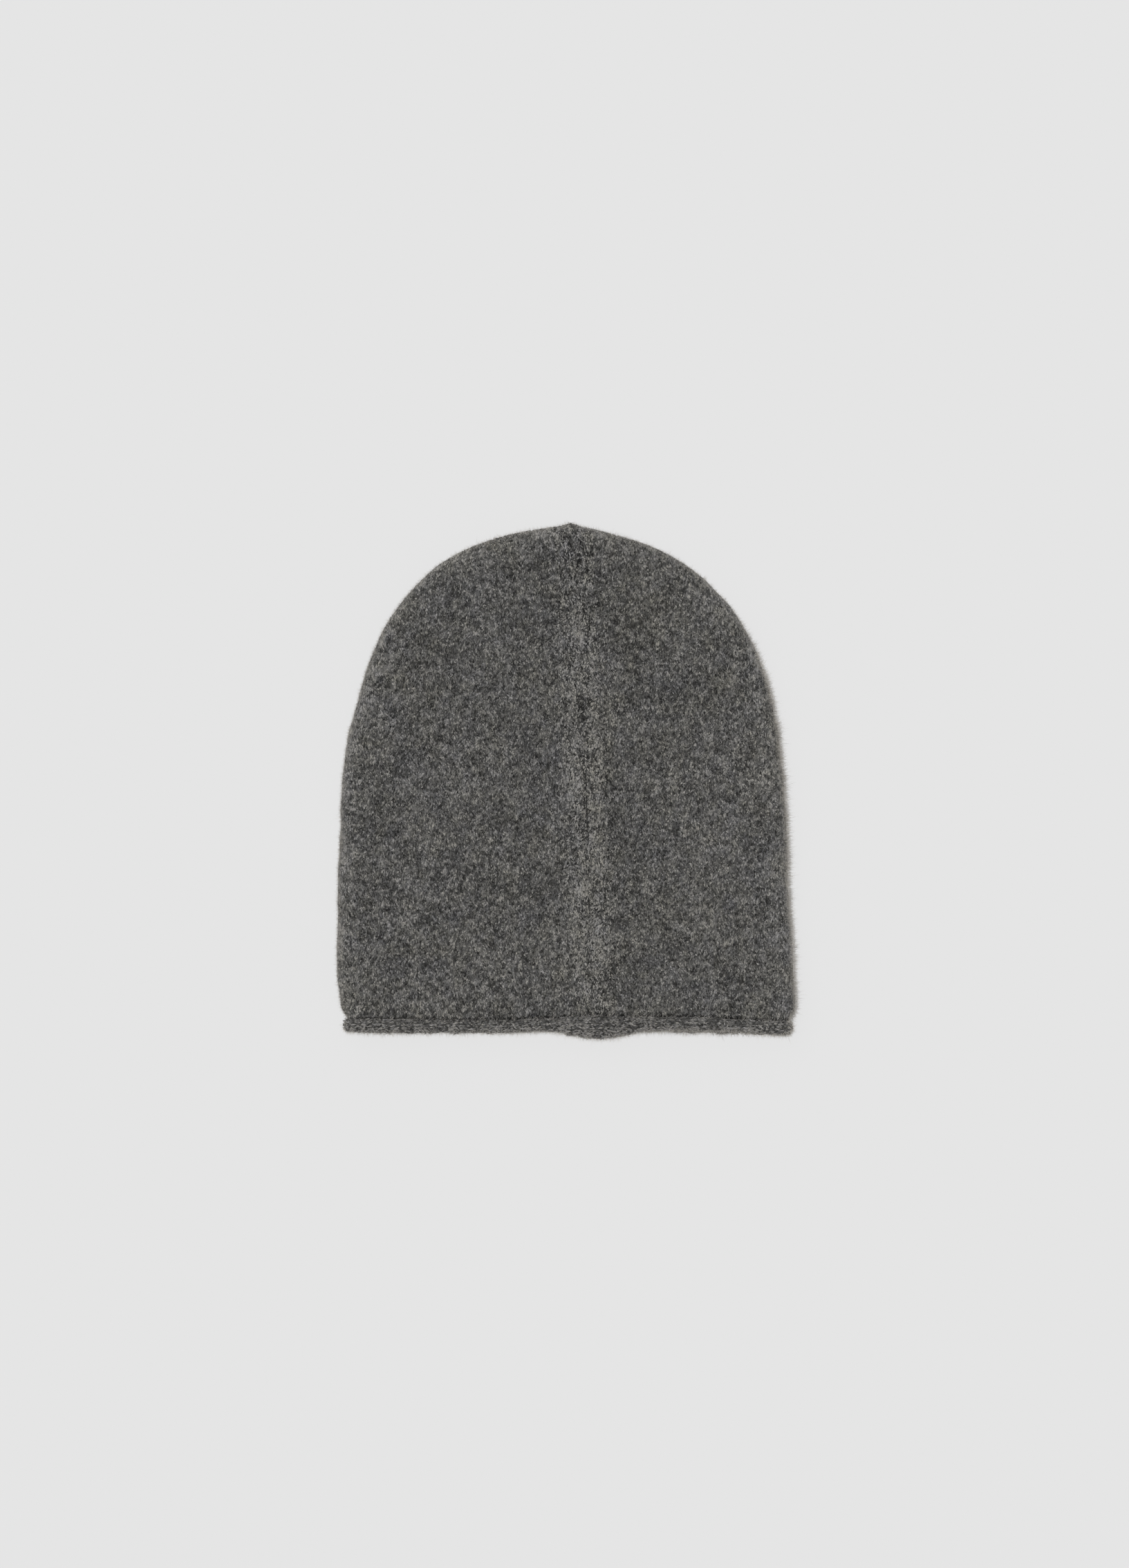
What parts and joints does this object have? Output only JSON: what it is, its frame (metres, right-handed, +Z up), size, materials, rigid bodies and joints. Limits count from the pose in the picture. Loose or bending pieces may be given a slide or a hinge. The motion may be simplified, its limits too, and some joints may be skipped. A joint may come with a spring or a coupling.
{
  "type": "knit cap",
  "caption": "Soft knitted cap with a domed crown, one seam up the middle and a hem that rolls outwards, lying flat with its mouth open.",
  "frame": {"origin": "on the surface the cap lies on, under the middle of its box", "axes": "+Y from the mouth to the tip, +Z up from the surface, +X to the right when the cap is seen from above with its tip away from the viewer"},
  "size_m": [0.21, 0.235, 0.0166],
  "materials": {
    "knit_face": "brushed marled wool jersey, smooth face out, dark grey",
    "knit_roll": "marled wool jersey, looped back out, dark grey",
    "knit_back": "looped back of marled wool jersey, dark grey"
  },
  "bodies": {
    "root": {"crown": "knit_face", "rolled_hem": "knit_roll", "seam_welt": "knit_back"}
  },
  "joints": []
}
